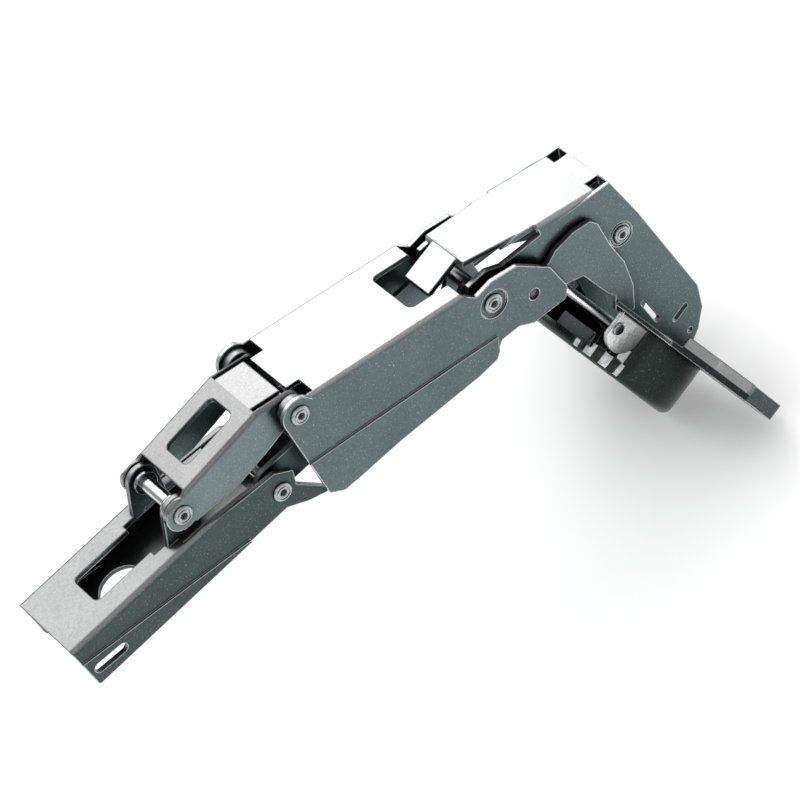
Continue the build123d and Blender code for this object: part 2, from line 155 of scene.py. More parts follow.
# plating: ranges that every finish shares, as shares or as parts of a unit normal
# LEVEL_RANGE: the normal's Y over which the painted reflection fades out on faces turned towards +Y
LEVEL_RANGE = (0.45, 0.12)
# noise levels, grain size and detail of the painted glints
GLINT_RANGE = (0.64, 0.78)
SWING_RANGE = (0.3, 0.7)
# occlusion levels over which the painted shade in recesses sets in
OPEN_RANGE = (0.4, 0.88)
# turn of the rounded normal over which the painted edge highlight and edge shade set in
EDGE_RANGE = (0.99, 0.93)
WHOLE_RANGE = (0.0, 1.0)
GLINT_PER_GRAIN = 1.3
RELIEF_PER_GRAIN = 1.7
GRAINS_PER_CLOUD = 22.0
GLINT_DETAIL = 1.0
GRAIN_DETAIL = 2.0
CLOUD_DETAIL = 3.0
OPEN_SAMPLES = 6
EDGE_SAMPLES = 5
SOFT_SAMPLES = 4
ROUGH_SWING = 0.06
RELIEF_STRENGTH = 0.12
RELIEF_DEPTH = 0.03
# half width of the soft edge of the flange's painted shade
SHADE_BAND = 0.1

# surround and floor
WHITE = (1.0, 1.0, 1.0, 1.0)
FLOOR_GAP = 0.2
FLOOR_HALF = 3000.0
FLOOR_DARK = (0.94, 0.94, 0.94)
FLOOR_PALE = (0.96, 0.96, 0.96)
FLOOR_CELLS = 40.0
FLOOR_ROUGHNESS = 0.9
FLOOR_SHINE = 0.1


class Body(str, Enum):
    """Moving bodies of the frame that carry pieces made here."""

    ARM = "arm"
    REAR = "rear"
    COVER = "cover"
    LEVER = "lever"
    FRONT = "front"
    CUP = "cup"


class Slot(str, Enum):
    """Names of the record's material slots; no piece made here is given one."""

    PRESSED = "pressed_steel"
    RIVET = "rivet_steel"
    SPACER = "spacer_steel"
    CUP = "cup_plating"


def link(tree: Tree, source: Socket, target: Socket) -> None:
    """Join two sockets of a node tree.

    Args:
        tree: Tree that holds both nodes.
        source: Output socket.
        target: Input socket.
    """
    tree.links.new(source, target)


def mapped(
    tree: Tree, value: Socket, source: Pair, target: Pair = WHOLE_RANGE, smooth: bool = False
) -> Socket:
    """Value carried from one range to another and held at its ends.

    Args:
        tree: Tree to add to.
        value: Socket that is carried over.
        source: Values that give the two ends.
        target: The two ends.
        smooth: Ease in and out instead of a straight line.

    Returns:
        The new value.
    """
    step = tree.nodes.new("ShaderNodeMapRange")
    step.interpolation_type = "SMOOTHSTEP" if smooth else "LINEAR"
    step.inputs["From Min"].default_value, step.inputs["From Max"].default_value = source
    step.inputs["To Min"].default_value, step.inputs["To Max"].default_value = target
    link(tree, value, step.inputs["Value"])
    return step.outputs["Result"]


def product(tree: Tree, first: Socket, second: Socket) -> Socket:
    """Product of two values.

    Args:
        tree: Tree to add to.
        first: First socket.
        second: Second socket.

    Returns:
        The product.
    """
    times = tree.nodes.new("ShaderNodeMath")
    times.operation = "MULTIPLY"
    link(tree, first, times.inputs[0])
    link(tree, second, times.inputs[1])
    return times.outputs["Value"]


def scaled(tree: Tree, colour: Socket, share: Socket) -> Socket:
    """Colour made lighter or darker.

    Args:
        tree: Tree to add to.
        colour: Socket with the colour.
        share: Socket with the factor.

    Returns:
        The scaled colour.
    """
    times = tree.nodes.new("ShaderNodeVectorMath")
    times.operation = "SCALE"
    link(tree, colour, times.inputs[0])
    link(tree, share, times.inputs["Scale"])
    return times.outputs["Vector"]


def mixed(tree: Tree, share: Socket, first: Socket | Colour, second: Socket | Colour) -> Socket:
    """Blend of two colours, each of them a socket or fixed.

    Args:
        tree: Tree to add to.
        share: Socket with the share of the second colour.
        first: Colour at 0.
        second: Colour at 1.

    Returns:
        The blended colour.
    """
    mix = tree.nodes.new("ShaderNodeMix")
    mix.data_type = "RGBA"
    link(tree, share, mix.inputs["Factor"])
    for place, colour in (("A", first), ("B", second)):
        if isinstance(colour, tuple):
            mix.inputs[place].default_value = (*colour, 1.0)
        else:
            link(tree, colour, mix.inputs[place])
    return mix.outputs["Result"]


def noise(tree: Tree, coords: Node, scale: float, detail: float) -> Socket:
    """Noise over the object's own space.

    Args:
        tree: Tree to add to.
        coords: Texture coordinate node.
        scale: Noise cells per metre.
        detail: Octaves of the noise.

    Returns:
        Its level, from 0 to 1.
    """
    cells = tree.nodes.new("ShaderNodeTexNoise")
    cells.inputs["Scale"].default_value = scale
    cells.inputs["Detail"].default_value = detail
    link(tree, coords.outputs["Object"], cells.inputs["Vector"])
    return cells.outputs["Fac"]


@dataclass(frozen=True)
class PlatedFinish:
    """Nickel-plated steel: bright where it faces up and deep grey on upright faces, a painted reflection and
    painted shade, with a fine speckle.

    The painted reflection and shade are told apart by the object's own normal, so they stay on their faces
    when the hinge moves.
    """

    name: str
    # the top colour is a painted reflection on up-facing faces, the side colour a painted shade on upright
    # faces
    top: Colour
    side: Colour
    # painted highlight on the edges of upright faces, also the colour of the painted glints, then painted
    # shade on the edges of up-facing faces
    edge: Colour = (0.8, 0.83, 0.83)
    top_edge_shade: Colour = (0.1, 0.115, 0.115)
    roughness: float = 0.3
    metallic: float = 1.0
    speckle: float = 0.11
    grain: float = 2600.0
    cloud: float = 0.06
    # share of the painted glints
    glint_share: float = 0.35
    edge_width: float = 0.36
    # share and reach of the painted shade in recesses and between parts
    recess_shade_share: float = 0.28
    recess_shade_reach: float = 9.0
    low: float = 0.25
    high: float = 0.72
    # height along the cup's axis below which the flange takes painted shade in its side colour
    shaded_below: float | None = None

    def material(self) -> Material:
        """Build the node material.

        Returns:
            A material with its own Principled shader, speckle, clouding, painted glints, painted shade in
            recesses and a painted highlight and painted shade on its edges.
        """
        made = bpy.data.materials.new(self.name)
        made.use_nodes = True
        tree = made.node_tree
        shader = tree.nodes["Principled BSDF"]
        shader.inputs["Metallic"].default_value = self.metallic
        coords = tree.nodes.new("ShaderNodeTexCoord")
        reflection_share = self._painted_reflection_share(tree, coords)
        # painted reflection and shade: up-facing faces take the bright top colour, upright ones the dark side
        # colour
        plating = mixed(tree, reflection_share, self.side, self.top)
        glinted = self._painted_glints(tree, coords, plating)
        grains = noise(tree, coords, self.grain, GRAIN_DETAIL)
        speckled = self._varied(tree, glinted, grains, self.speckle)
        clouds = noise(tree, coords, self.grain / GRAINS_PER_CLOUD, CLOUD_DETAIL)
        clouded = self._varied(tree, speckled, clouds, self.cloud)
        shaded = self._shaded(tree, clouded)
        # painted edge light: bright highlight on the edges of upright faces, dark painted shade on those of
        # up-facing faces
        rim = mixed(tree, reflection_share, self.edge, self.top_edge_shade)
        finished = mixed(tree, self._edge_light_share(tree), shaded, rim)
        link(tree, finished, shader.inputs["Base Color"])
        self._surface(tree, coords, shader)
        return made

    def _painted_reflection_share(self, tree: Tree, coords: Node) -> Socket:
        """Share of the painted reflection: 1 on level faces, 0 on upright ones and, as a painted shade, on
        the side of the shade limit that is nearer to the door.

        Args:
            tree: Tree to add to.
            coords: Texture coordinate node.

        Returns:
            The stepped value.
        """
        split = tree.nodes.new("ShaderNodeSeparateXYZ")
        link(tree, coords.outputs["Normal"], split.inputs["Vector"])
        upward = mapped(tree, split.outputs["Z"], (self.low, self.high), smooth=True)
        level = mapped(tree, split.outputs["Y"], LEVEL_RANGE, smooth=True)
        reflection_share = product(tree, upward, level)
        # painted shade: below the limit along the cup's axis the share drops to 0, so the flange takes its
        # dark side colour
        if self.shaded_below is None:
            return reflection_share
        height = tree.nodes.new("ShaderNodeVectorMath")
        height.operation = "DOT_PRODUCT"
        height.inputs[1].default_value = CUP_OUT
        link(tree, coords.outputs["Object"], height.inputs[0])
        limit = CUP_CENTRE.dot(CUP_OUT) + self.shaded_below
        band = ((limit - SHADE_BAND) * MM, (limit + SHADE_BAND) * MM)
        return product(tree, reflection_share, mapped(tree, height.outputs["Value"], band, smooth=True))

    def _painted_glints(self, tree: Tree, coords: Node, colour: Socket) -> Socket:
        """Colour with painted glints, sparse bright grains in the colour of the painted edge highlight.

        Args:
            tree: Tree to add to.
            coords: Texture coordinate node.
            colour: Socket with the plain colour.

        Returns:
            The colour with its painted glints.
        """
        glint_noise = noise(tree, coords, self.grain * GLINT_PER_GRAIN, GLINT_DETAIL)
        bright = mapped(tree, glint_noise, GLINT_RANGE, (0.0, self.glint_share))
        return mixed(tree, bright, colour, self.edge)

    def _varied(self, tree: Tree, colour: Socket, level: Socket, amount: float) -> Socket:
        """Colour made lighter and darker by a noise.

        Args:
            tree: Tree to add to.
            colour: Socket with the plain colour.
            level: Socket with the noise.
            amount: Share by which the brightness swings.

        Returns:
            The varied colour.
        """
        return scaled(tree, colour, mapped(tree, level, SWING_RANGE, (1.0 - amount, 1.0 + amount)))

    def _shaded(self, tree: Tree, colour: Socket) -> Socket:
        """Colour darkened where other surfaces are near: painted shade in narrow recesses and between parts.

        Args:
            tree: Tree to add to.
            colour: Socket with the colour in the open.

        Returns:
            The colour with its painted shade.
        """
        open_sky = tree.nodes.new("ShaderNodeAmbientOcclusion")
        open_sky.samples = OPEN_SAMPLES
        open_sky.inputs["Distance"].default_value = self.recess_shade_reach * MM
        return scaled(tree, colour, mapped(tree, open_sky.outputs["AO"], OPEN_RANGE, (self.recess_shade_share, 1.0)))

    def _rounded(self, tree: Tree, samples: int) -> Socket:
        """Normal as if every edge had a small radius.

        Args:
            tree: Tree to add to.
            samples: Rays that look for the edge.

        Returns:
            The normal.
        """
        rounded = tree.nodes.new("ShaderNodeBevel")
        rounded.samples = samples
        rounded.inputs["Radius"].default_value = self.edge_width * MM
        return rounded.outputs["Normal"]

    def _edge_light_share(self, tree: Tree) -> Socket:
        """Share of a point that lies on an edge, where the painted highlight or painted shade goes, from the
        turn of a rounded normal.

        Args:
            tree: Tree to add to.

        Returns:
            1 on an edge and 0 on a flat face.
        """
        geometry = tree.nodes.new("ShaderNodeNewGeometry")
        turn = tree.nodes.new("ShaderNodeVectorMath")
        turn.operation = "DOT_PRODUCT"
        link(tree, self._rounded(tree, EDGE_SAMPLES), turn.inputs[0])
        link(tree, geometry.outputs["Normal"], turn.inputs[1])
        return mapped(tree, turn.outputs["Value"], EDGE_RANGE)

    def _surface(self, tree: Tree, coords: Node, shader: Node) -> None:
        """Roughness and relief of the plating.

        Args:
            tree: Tree to add to.
            coords: Texture coordinate node.
            shader: Principled shader that is fed.
        """
        grain = noise(tree, coords, self.grain * RELIEF_PER_GRAIN, GRAIN_DETAIL)
        swing = (self.roughness - ROUGH_SWING, self.roughness + ROUGH_SWING)
        link(tree, mapped(tree, grain, WHOLE_RANGE, swing), shader.inputs["Roughness"])
        relief = tree.nodes.new("ShaderNodeBump")
        relief.inputs["Strength"].default_value = RELIEF_STRENGTH
        relief.inputs["Distance"].default_value = RELIEF_DEPTH * MM
        link(tree, grain, relief.inputs["Height"])
        link(tree, self._rounded(tree, SOFT_SAMPLES), relief.inputs["Normal"])
        link(tree, relief.outputs["Normal"], shader.inputs["Normal"])


# each finish's top and side colours are a painted reflection and a painted shade, chosen by the face's normal
BRIGHT = PlatedFinish(
    "bright_roof_plating",
    top=(0.9, 0.91, 0.91),
    side=(0.112, 0.152, 0.155),
    low=0.3,
    high=0.8,
)
REAR = PlatedFinish("rear_link_plating", top=(0.45, 0.45, 0.45), side=(0.165, 0.21, 0.215))
SATIN = PlatedFinish(
    "arm_plating",
    top=(0.5, 0.505, 0.505),
    side=(0.062, 0.084, 0.083),
    roughness=0.4,
)
DEEP = PlatedFinish(
    "lever_plating",
    top=(0.55, 0.57, 0.57),
    side=(0.13, 0.17, 0.175),
    roughness=0.34,
)
RIVET = PlatedFinish(
    "rivet_plating",
    top=(0.85, 0.86, 0.86),
    side=(0.34, 0.38, 0.38),
    roughness=0.2,
    speckle=0.06,
)
# painted shade: dark colour for the groove and dimple of each rivet head
RECESS_SHADE = PlatedFinish("rivet_recess_shade", top=(0.2, 0.22, 0.22), side=(0.02, 0.026, 0.026), glint_share=0.1)
SPACER = PlatedFinish(
    "spacer_plating",
    top=(0.5, 0.52, 0.52),
    side=(0.09, 0.11, 0.115),
    roughness=0.36,
)
CUP = PlatedFinish(
    "cup_plating_look",
    top=(0.07, 0.082, 0.078),
    side=(0.024, 0.032, 0.028),
    roughness=0.28,
    glint_share=0.12,
)
FLANGE = PlatedFinish(
    "flange_plating",
    top=(0.76, 0.78, 0.78),
    side=(0.06, 0.078, 0.078),
    roughness=0.26,
    # painted shade over the flange's lower band
    shaded_below=1.4,
)
POLISH = PlatedFinish(
    "ear_polish",
    top=(0.9, 0.92, 0.92),
    side=(0.94, 0.96, 0.96),
    roughness=0.16,
    metallic=0.25,
    speckle=0.3,
    cloud=0.4,
    recess_shade_share=0.85,
)
# painted highlight: bright colour for the crests between the drum's flutes
FLUTE_HIGHLIGHT = PlatedFinish(
    "flute_crest_highlight",
    top=(0.6, 0.62, 0.62),
    side=(0.5, 0.53, 0.53),
    roughness=0.2,
    metallic=0.5,
    speckle=0.25,
    cloud=0.4,
    recess_shade_share=0.6,
)
SPRING = PlatedFinish("spring_plating", top=(0.1, 0.115, 0.115), side=(0.05, 0.06, 0.06))
FINISHES = (BRIGHT, REAR, SATIN, DEEP, RIVET, RECESS_SHADE, SPACER, CUP, FLANGE, POLISH, FLUTE_HIGHLIGHT, SPRING)


def finished_mesh(name: str, vertices: np.ndarray, faces: list[tuple[int, ...]]) -> Piece:
    """Object at the origin with outward faces, smooth but for its sharp edges.

    Args:
        name: Name of the piece.
        vertices: Points in millimetres.
        faces: Corners of each face.

    Returns:
        The linked object.
    """
    mesh = bpy.data.meshes.new(name)
    mesh.from_pydata((np.asarray(vertices) * MM).tolist(), [], faces)
    shell = bmesh.new()
    shell.from_mesh(mesh)
    bmesh.ops.recalc_face_normals(shell, faces=shell.faces)
    shell.to_mesh(mesh)
    shell.free()
    mesh.shade_smooth()
    mesh.set_sharp_from_angle(angle=SHARP_ANGLE)
    piece = bpy.data.objects.new(name, mesh)
    bpy.context.scene.collection.objects.link(piece)
    return piece


def turned(name: str, profile: Sequence[Pair], centre: Pair) -> Piece:
    """Surface of revolution about a pivot's axis.

    A profile point (r, y) gives the ring P(t) = (cx + r cos t, y, cz + r sin t) for t from 0 to 2 pi,
    and a point with r = 0 is a single vertex on the axis.

    Args:
        name: Name of the piece.
        profile: Radius and place along Y of each ring, in millimetres.
        centre: X and Z of the axis, in millimetres.

    Returns:
        The turned piece.
    """
    turn = np.linspace(0.0, 2.0 * np.pi, TURNED_SEGMENTS, endpoint=False)
    rows: list[list[int]] = []
    points: list[np.ndarray] = []
    count = 0
    for radius, along in profile:
        angles = turn if radius > 0 else turn[:1]
        ring = np.column_stack(
            (
                centre[0] + radius * np.cos(angles),
                np.full(len(angles), along),
                centre[1] + radius * np.sin(angles),
            )
        )
        rows.append(list(range(count, count + len(angles))))
        points.append(ring)
        count += len(angles)
    faces = []
    for low, high in zip(rows, rows[1:]):
        for j in range(TURNED_SEGMENTS):
            corners = (
                low[j % len(low)],
                low[(j + 1) % len(low)],
                high[(j + 1) % len(high)],
                high[j % len(high)],
            )
            faces.append(tuple(dict.fromkeys(corners)))
    return finished_mesh(name, np.vstack(points), faces)


def middle(node: str) -> Pair:
    """X and Z of the middle of a node's box.

    Args:
        node: Name of the CAD node.

    Returns:
        The two coordinates, in millimetres.
    """
    low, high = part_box(node)
    return ((low[0] + high[0]) / 2 / MM, (low[2] + high[2]) / 2 / MM)


def reach(node: str) -> Pair:
    """Outer radius and half length along Y of a turned node.

    Args:
        node: Name of the CAD node.

    Returns:
        Radius and half length, in millimetres.
    """
    low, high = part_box(node)
    return ((high[0] - low[0]) / 2 / MM, high[1] / MM)


@dataclass(frozen=True)
class TurnedRivet:
    """Pin with a peened head at each end: a dimple, a raised ring, a groove and a rounded rim."""

    node: str
    body: Body
    shank: float = SHANK_RADIUS

    def head(self) -> list[Pair]:
        """Profile of one head, from the axis outwards and down to the shank.

        Returns:
            Radius and place along Y of each ring, in millimetres.
        """
        radius, top = reach(self.node)
        rings = [(radius * share, top - drop) for share, drop in HEAD_SHAPE]
        return rings + [(self.shank, top - HEAD_HEIGHT)]

    def build(self, look: Material, recess_shade_look: Material) -> None:
        """Turn the rivet and let it stand for its node.

        Args:
            look: Material of the rivet.
            recess_shade_look: Material of its groove and dimple, a painted shade.
        """
        near = self.head()
        far = [(radius, -along) for radius, along in reversed(near)]
        axis = middle(self.node)
        piece = turned(f"{self.node}_turned", near + far, axis)
        piece.data.materials.append(look)
        piece.data.materials.append(recess_shade_look)
        radius, top = reach(self.node)
        # faces of the groove and dimple take the painted shade
        for face in piece.data.polygons:
            depth = top - abs(face.center.y) / MM
            off_axis = math.hypot(face.center.x / MM - axis[0], face.center.z / MM - axis[1])
            sunken = RECESS_DEPTH < depth < HEAD_HEIGHT and off_axis < RECESS_REACH * radius
            face.material_index = int(sunken)
        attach(piece, self.body.value)
        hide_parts(self.node)


RIVETS = (
    TurnedRivet("base_pin", Body.ARM),
    TurnedRivet("rear_pin", Body.REAR),
    TurnedRivet("cover_pin", Body.COVER),
    TurnedRivet("middle_pin", Body.COVER),
    TurnedRivet("stop_pin", Body.FRONT, FINE_SHANK_RADIUS),
)


@dataclass(frozen=True)
class CrownedRoller:
    """Stop roller inside the front link, with rounded shoulders and a shallow waist."""

    node: str = "stop_roller"
    body: Body = Body.FRONT
    bore: float = FINE_SHANK_RADIUS + ROLLER_PLAY
    waist: float = 0.25
    shoulder: float = 0.45

    def build(self, look: Material) -> None:
        """Turn the roller and let it stand for its node.

        The barrel follows r(y) = R - w cos(pi y / 2L) ** 2, so it is slimmest in its middle.

        Args:
            look: Material of the roller.
        """
        radius, half = reach(self.node)
        straight = half - self.shoulder
        places = np.linspace(-straight, straight, BARREL_RINGS)
        barrel = radius - self.waist * np.cos(np.pi * places / (2.0 * half)) ** 2
        ease = np.linspace(0.0, np.pi / 2, SHOULDER_RINGS)
        end = [
            (radius - self.shoulder * (1 - math.cos(t)), half - self.shoulder * (1 - math.sin(t)))
            for t in ease[1:]
        ]
        start = [(r, -y) for r, y in reversed(end)]
        outside = start + list(zip(barrel.tolist(), places.tolist())) + end
        profile = [(self.bore, -half)] + outside + [(self.bore, half), (self.bore, -half)]
        piece = turned(f"{self.node}_crowned", profile, middle(self.node))
        piece.data.materials.append(look)
        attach(piece, self.body.value)
        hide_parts(self.node)


@dataclass(frozen=True)
class SheetStrip:
    """Sheet strip that follows a line in X and Z, rounded at its long edges."""

    name: str
    body: Body
    line: Sequence[Pair]
    width: Pair
    thick: float
    crown: float = 0.3

    def build(self, look: Material) -> None:
        """Build the strip; its upper face is z(x, s) = line(x) - c (2 s - 1)^8 for s from 0 to 1 across it.

        Args:
            look: Material of the strip.
        """
        across = np.linspace(0.0, 1.0, SHEET_COLUMNS)
        levels = self.width[0] + (self.width[1] - self.width[0]) * across
        drop = self.crown * (2.0 * across - 1.0) ** 8
        sections = []
        for along, height in self.line:
            upper = np.column_stack((np.full_like(across, along), levels, height - drop))
            under = np.full_like(across, height - self.thick)
            lower = np.column_stack((np.full_like(across, along), levels[::-1], under))
            sections.append(np.vstack((upper, lower)))
        count = 2 * len(across)
        last = (len(self.line) - 1) * count
        faces = [tuple(range(count)), tuple(range(last, last + count))]
        for near in range(0, last, count):
            far = near + count
            for j in range(count):
                faces.append((near + j, near + (j + 1) % count, far + (j + 1) % count, far + j))
        piece = finished_mesh(self.name, np.vstack(sections), faces)
        piece.data.materials.append(look)
        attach(piece, self.body.value)


# shelves turned in from the arm's cheeks, and the web that closes the lever near the base pin
ARM_SHELVES = (
    SheetStrip("arm_shelf_far", Body.ARM, SHELF_LINE, (SHELF_INNER, SHELF_OUTER), SHELF_THICK),
    SheetStrip("arm_shelf_near", Body.ARM, SHELF_LINE, (-SHELF_OUTER, -SHELF_INNER), SHELF_THICK),
)
LEVER_WEB = SheetStrip("lever_web", Body.LEVER, WEB_LINE, (-WEB_HALF, WEB_HALF), WEB_THICK)


def cup_point(height, across, along_y) -> np.ndarray:
    """Places in the cup's own axes: C + u * out + v * across + y * Y.

    Args:
        height: Height u above the flange's underside, in millimetres.
        across: Distance v across the flange, in millimetres.
        along_y: Distance along Y, in millimetres.

    Returns:
        One row per point.
    """
    height, across, along_y = np.broadcast_arrays(height, across, along_y)
    shape = (*height.shape, 1)
    rise = height.reshape(shape) * np.array(CUP_OUT)
    aside = across.reshape(shape) * np.array(CUP_ACROSS)
    return np.array(CUP_CENTRE) + rise + aside + along_y.reshape(shape) * np.array((0.0, 1.0, 0.0))


@dataclass(frozen=True)
class OpenCup:
    """Drawn drum with its two gates and, beside the lever's gate, a window round each bearing ear.

    Angles are in degrees, round the drum from its -Y side towards the flange's upper edge. Heights start
    at the flange's underside, and the flutes' foot at the base.
    """

    node: str = "cup_shell"
    hub: float = 0.5
    column_step: float = 1.5
    window_end: float = 33.0
    window_low: float = -8.2
    window_high: float = -0.5
    flute_start: float = 31.0
    flute_end: float = 67.0
    flute_pitch: float = 12.0
    flute_depth: float = 0.45
    flute_crest: float = 0.45
    flute_foot: float = 0.5

    def gate_angle(self, half: float) -> float:
        """Angle at which a gate cuts the wall.

        Args:
            half: Half width of the gate.

        Returns:
            The angle in degrees.
        """
        return math.degrees(math.acos(half / CUP_RADIUS))

    def is_open(self, angle: float, height: float) -> bool:
        """Whether the wall is cut away at a place.

        Args:
            angle: Angle round the drum.
            height: Height above the flange's underside.

        Returns:
            True in a gate or window.
        """
        lever, foot = self.gate_angle(LEVER_GATE), self.gate_angle(FOOT_GATE)
        in_gate = lever < angle < 180.0 - lever or foot < -angle < 180.0 - foot
        beside = self.window_end < angle < lever or 180.0 - lever < angle < 180.0 - self.window_end
        in_window = beside and self.window_low < height < self.window_high
        return (in_gate and height > -GATE_DROP) or in_window

    def profile(self) -> list[Pair]:
        """Half section from the middle of the base, round its corner and up to the rim.

        The corner is the arc r = R - c + c sin t, u = -D + c (1 - cos t) for t from 0 to pi / 2.

        Returns:
            Radius and height of each ring.
        """
        flat = np.linspace(self.hub, CUP_RADIUS - CUP_ROUND, FLAT_RINGS)
        turn = np.linspace(0.0, np.pi / 2, CORNER_RINGS)[1:]
        corner = [
            (CUP_RADIUS - CUP_ROUND * (1 - math.sin(t)), -CUP_DEPTH + CUP_ROUND * (1 - math.cos(t)))
            for t in turn
        ]
        heights = (-GATE_DROP, self.window_low, *WALL_HEIGHTS, self.window_high, CUP_RIM)
        wall = [(CUP_RADIUS, height) for height in heights]
        return [(radius, -CUP_DEPTH) for radius in flat] + corner + wall

    def angles(self) -> np.ndarray:
        """Angles of the wall's columns, with one at each edge of a gate or window.

        Returns:
            Increasing angles in degrees, from -180 up to, but without, 180.
        """
        lever, foot = self.gate_angle(LEVER_GATE), self.gate_angle(FOOT_GATE)
        near = [-180.0, foot - 180.0, -foot, self.window_end, lever]
        marks = near + [180.0 - lever, 180.0 - self.window_end, 180.0]
        columns = [
            np.linspace(low, high, max(2, int((high - low) / self.column_step)), endpoint=False)
            for low, high in zip(marks, marks[1:])
        ]
        return np.concatenate(columns)

    def on_crest(self, place: Vector) -> bool:
        """Whether a place on the drum is a crest between two flutes, which takes the painted highlight.

        Args:
            place: Place in metres.

        Returns:
            True on a crest.
        """
        off = place / MM - CUP_CENTRE
        angle = math.degrees(math.atan2(off.dot(CUP_ACROSS), -off.y))
        low = self.flute_foot - CUP_DEPTH < off.dot(CUP_OUT) < self.window_low
        wave = math.cos(math.pi * (angle - self.flute_start) / self.flute_pitch) ** 2
        return low and self.flute_start < angle < self.flute_end and wave > self.flute_crest

    def build(self, look: Material, crest_highlight: Material) -> None:
        """Draw the drum as P(a, i) = C + u_i out + r (sin a across - cos a Y), thickened inwards.

        The radius r is r_i, less d sin(pi (a - a0) / p)^2 in the flutes of the corner under the near window.

        Args:
            look: Material of the drum.
            crest_highlight: Material of the flutes' crests, a painted highlight.
        """
        rings = self.profile()
        columns = self.angles()
        count = len(columns)
        turn = np.radians(columns)
        wave = np.sin(np.pi * (columns - self.flute_start) / self.flute_pitch) ** 2
        fluted = (columns > self.flute_start) & (columns < self.flute_end)
        dip = np.where(fluted, self.flute_depth * wave, 0.0)
        rows = []
        for radius, height in rings:
            in_corner = CUP_RADIUS - CUP_ROUND < radius and height < self.window_low
            reach_out = radius - (dip if in_corner else 0.0)
            rows.append(cup_point(height, reach_out * np.sin(turn), -reach_out * np.cos(turn)))
        faces: list[tuple[int, ...]] = [tuple(range(count))]
        for i in range(len(rings) - 1):
            height = (rings[i][1] + rings[i + 1][1]) / 2
            for j in range(count):
                step = (columns[(j + 1) % count] - columns[j]) % 360.0
                if rings[i + 1][0] == CUP_RADIUS and self.is_open(columns[j] + step / 2, height):
                    continue
                low, high = i * count, (i + 1) * count
                faces.append((low + j, low + (j + 1) % count, high + (j + 1) % count, high + j))
        drum = finished_mesh(f"{self.node}_open", np.vstack(rows), faces)
        drum.data.materials.append(look)
        drum.data.materials.append(crest_highlight)
        # crests between the flutes take the painted highlight
        for face in drum.data.polygons:
            face.material_index = int(self.on_crest(face.center))
        wall = drum.modifiers.new("wall", "SOLIDIFY")
        wall.thickness = CUP_WALL * MM
        wall.offset = -1.0
        wall.use_even_offset = True
        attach(drum, Body.CUP.value)
        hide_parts(self.node)


@dataclass(frozen=True)
class BearingEar:
    """Polished ear in a window of the drum that carries one end of the cup pin."""

    side: int
    inner: float = LEVER_GATE + EAR_PLAY
    thickness: float = 0.95
    bore: float = FINE_SHANK_RADIUS + EAR_PLAY
    lobe: float = 5.0
    lobe_place: Pair = (0.9, -2.6)
    clear: float = 0.15

    def reach(self, angle: np.ndarray) -> np.ndarray:
        """Distance from the bore's axis to the ear's outline in each direction.

        The lobe is a circle of radius r whose middle is a vector d away from the bore, so it lies at
        d cos(a - b) + sqrt(r^2 - d^2 sin(a - b)^2) in the direction a, with b the direction of d. Above its
        middle it runs straight up to the flange, and it is cut where it would leave the drum.

        Args:
            angle: Directions, from the cup's axis towards its upper edge.

        Returns:
            Distance in each direction, in millimetres.
        """
        up = -self.clear - PIN_PLACE[0]
        drum = CUP_RADIUS - EAR_PLAY
        room = math.sqrt(drum**2 - (self.inner + self.thickness / 2) ** 2) - PIN_PLACE[1]
        rise, outward = np.cos(angle), np.sin(angle)
        rise_mid, out_mid = self.lobe_place
        apart = math.hypot(rise_mid, out_mid)
        turn = angle - math.atan2(out_mid, rise_mid)
        circle = apart * np.cos(turn) + np.sqrt(self.lobe**2 - (apart * np.sin(turn)) ** 2)
        width = self.lobe + np.sign(outward) * out_mid
        straight = width / np.maximum(np.abs(outward), TINY)
        sides = np.where(circle * rise > rise_mid, straight, circle)
        top = np.where(rise > TINY, up / np.maximum(rise, TINY), np.inf)
        rim = np.where(outward > TINY, room / np.maximum(outward, TINY), np.inf)
        return np.minimum(np.minimum(sides, top), rim)

    def build(self, look: Material) -> None:
        """Build the ear from four loops round the bore: bore and outline on both faces.

        Args:
            look: Material of the ear.
        """
        angle = np.linspace(0.0, 2.0 * np.pi, EAR_SEGMENTS, endpoint=False)
        bore = np.full_like(angle, self.bore)
        edge = self.reach(angle)
        low, high = self.side * self.inner, self.side * (self.inner + self.thickness)
        loops = [
            cup_point(PIN_PLACE[0] + away * np.cos(angle), PIN_PLACE[1] + away * np.sin(angle), level)
            for away, level in ((bore, low), (edge, low), (edge, high), (bore, high))
        ]
        count = len(angle)
        faces = [
            (i * count + j, i * count + (j + 1) % count, k * count + (j + 1) % count, k * count + j)
            for i, k in ((0, 1), (1, 2), (2, 3), (3, 0))
            for j in range(count)
        ]
        name = "bearing_ear_near" if self.side < 0 else "bearing_ear_far"
        ear = finished_mesh(name, np.vstack(loops), faces)
        ear.data.materials.append(look)
        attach(ear, Body.CUP.value)


@dataclass
class Platings:
    """Finish of every CAD node that stays in view."""

    finishes: dict[str, PlatedFinish] = field(
        default_factory=lambda: {
            "arm_channel": SATIN,
            "arm_slide": SATIN,
            "base_collars": SPACER,
            "rear_link": REAR,
            "rear_collar": RIVET,
            "cover_link": BRIGHT,
            "cover_washers": SPACER,
            "middle_washers": SPACER,
            "lever_studs": DEEP,
            "inner_lever": DEEP,
            "front_link": BRIGHT,
            "foot_pin": RIVET,
            "cup_lever": DEEP,
            "cup_lugs": CUP,
            "cup_flange": FLANGE,
            "cup_pin": RIVET,
            "cup_leaf": SPRING,
        }
    )

    def build(self, looks: dict[str, Material]) -> None:
        """Give each node its own material.

        Args:
            looks: Materials by the name of their finish.
        """
        for node, finish in self.finishes.items():
            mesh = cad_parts[node].data
            mesh.materials.clear()
            mesh.materials.append(looks[finish.name])


